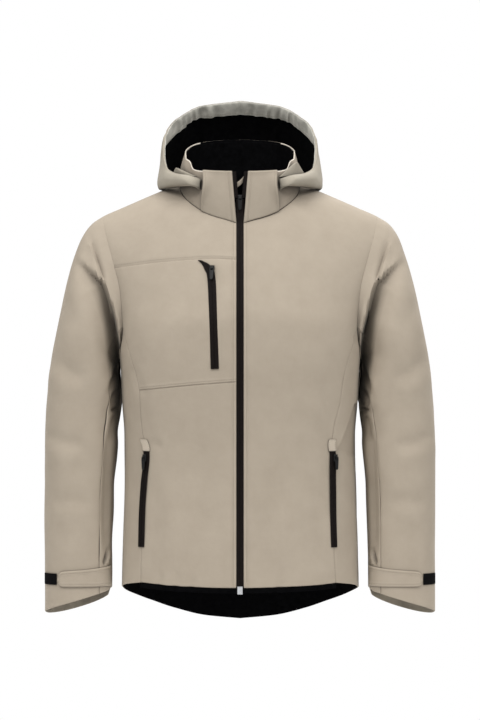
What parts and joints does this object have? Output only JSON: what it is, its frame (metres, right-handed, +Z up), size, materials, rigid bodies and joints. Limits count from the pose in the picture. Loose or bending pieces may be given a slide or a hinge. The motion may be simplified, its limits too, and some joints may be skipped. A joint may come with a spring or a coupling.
{
  "type": "softshell jacket",
  "caption": "Hooded softshell jacket, hollow as worn, with a full front zip, chest and side zip pockets, a stand collar, cuff tabs and a dropped back hem.",
  "frame": {"origin": "middle of the neck opening, level with the points where the neck meets the shoulders", "axes": "+Z up the wearer's body, the front faces -Y, +X towards the wearer's left"},
  "size_m": [0.6712, 0.3426, 0.916],
  "materials": {
    "shell_cloth": "matte, fine weave",
    "fleece_back": "brushed fleece",
    "zip_tape": "woven tape with coil",
    "hook_tape": "hook and loop",
    "black_coat": "satin",
    "bare_metal": "satin"
  },
  "bodies": {
    "jacket": {"front_left": "shell_cloth", "front_right_lower": "shell_cloth", "front_right_chest": "shell_cloth", "front_right_yoke": "shell_cloth", "side_left": "shell_cloth", "side_right": "shell_cloth", "back": "shell_cloth", "sleeve_upper_left": "shell_cloth", "sleeve_upper_right": "shell_cloth", "sleeve_under_left": "shell_cloth", "sleeve_under_right": "shell_cloth", "cuff_tab_left": "shell_cloth", "cuff_tab_right": "shell_cloth", "collar_outer": "shell_cloth", "collar_flap_left": "shell_cloth", "collar_flap_right": "shell_cloth", "hood_left": "shell_cloth", "hood_right": "shell_cloth", "hood_facing_left": "shell_cloth", "hood_facing_right": "shell_cloth", "hood_fold_left": "shell_cloth", "hood_fold_right": "shell_cloth", "chin_guard": "shell_cloth", "pocket_garage_left": "shell_cloth", "pocket_garage_right": "shell_cloth", "collar_inner": "fleece_back", "hem_band_left": "fleece_back", "hem_band_right": "fleece_back", "main_zip": "zip_tape", "main_zip_open_left": "zip_tape", "main_zip_open_right": "zip_tape", "chest_zip": "zip_tape", "pocket_zip_left": "zip_tape", "pocket_zip_right": "zip_tape", "cuff_hook_left": "hook_tape", "cuff_hook_right": "hook_tape", "main_slider": "black_coat", "chest_slider": "black_coat", "pocket_left_slider": "black_coat", "pocket_right_slider": "black_coat", "zip_box": "bare_metal"},
    "main_pull": {"main_pull": "black_coat"},
    "chest_pull": {"chest_pull": "black_coat"},
    "pocket_left_pull": {"pocket_left_pull": "black_coat"},
    "pocket_right_pull": {"pocket_right_pull": "black_coat"}
  },
  "joints": [
    {"name": "main_hinge", "type": "hinge", "parent": "jacket", "child": "main_pull", "pos_m": [0, -0.08395, -0.03662], "axis": [-1, 0, 0], "range_deg": [0, 150]},
    {"name": "chest_hinge", "type": "hinge", "parent": "jacket", "child": "chest_pull", "pos_m": [-0.04748, -0.12081, -0.1562], "axis": [-0.9911, 0.1329, 0], "range_deg": [0, 150]},
    {"name": "pocket_left_hinge", "type": "hinge", "parent": "jacket", "child": "pocket_left_pull", "pos_m": [0.16273, -0.10244, -0.47496], "axis": [-0.8038, -0.5949, 0], "range_deg": [0, 150]},
    {"name": "pocket_right_hinge", "type": "hinge", "parent": "jacket", "child": "pocket_right_pull", "pos_m": [-0.16271, -0.10224, -0.47498], "axis": [-0.8065, 0.5913, 0], "range_deg": [0, 150]}
  ]
}
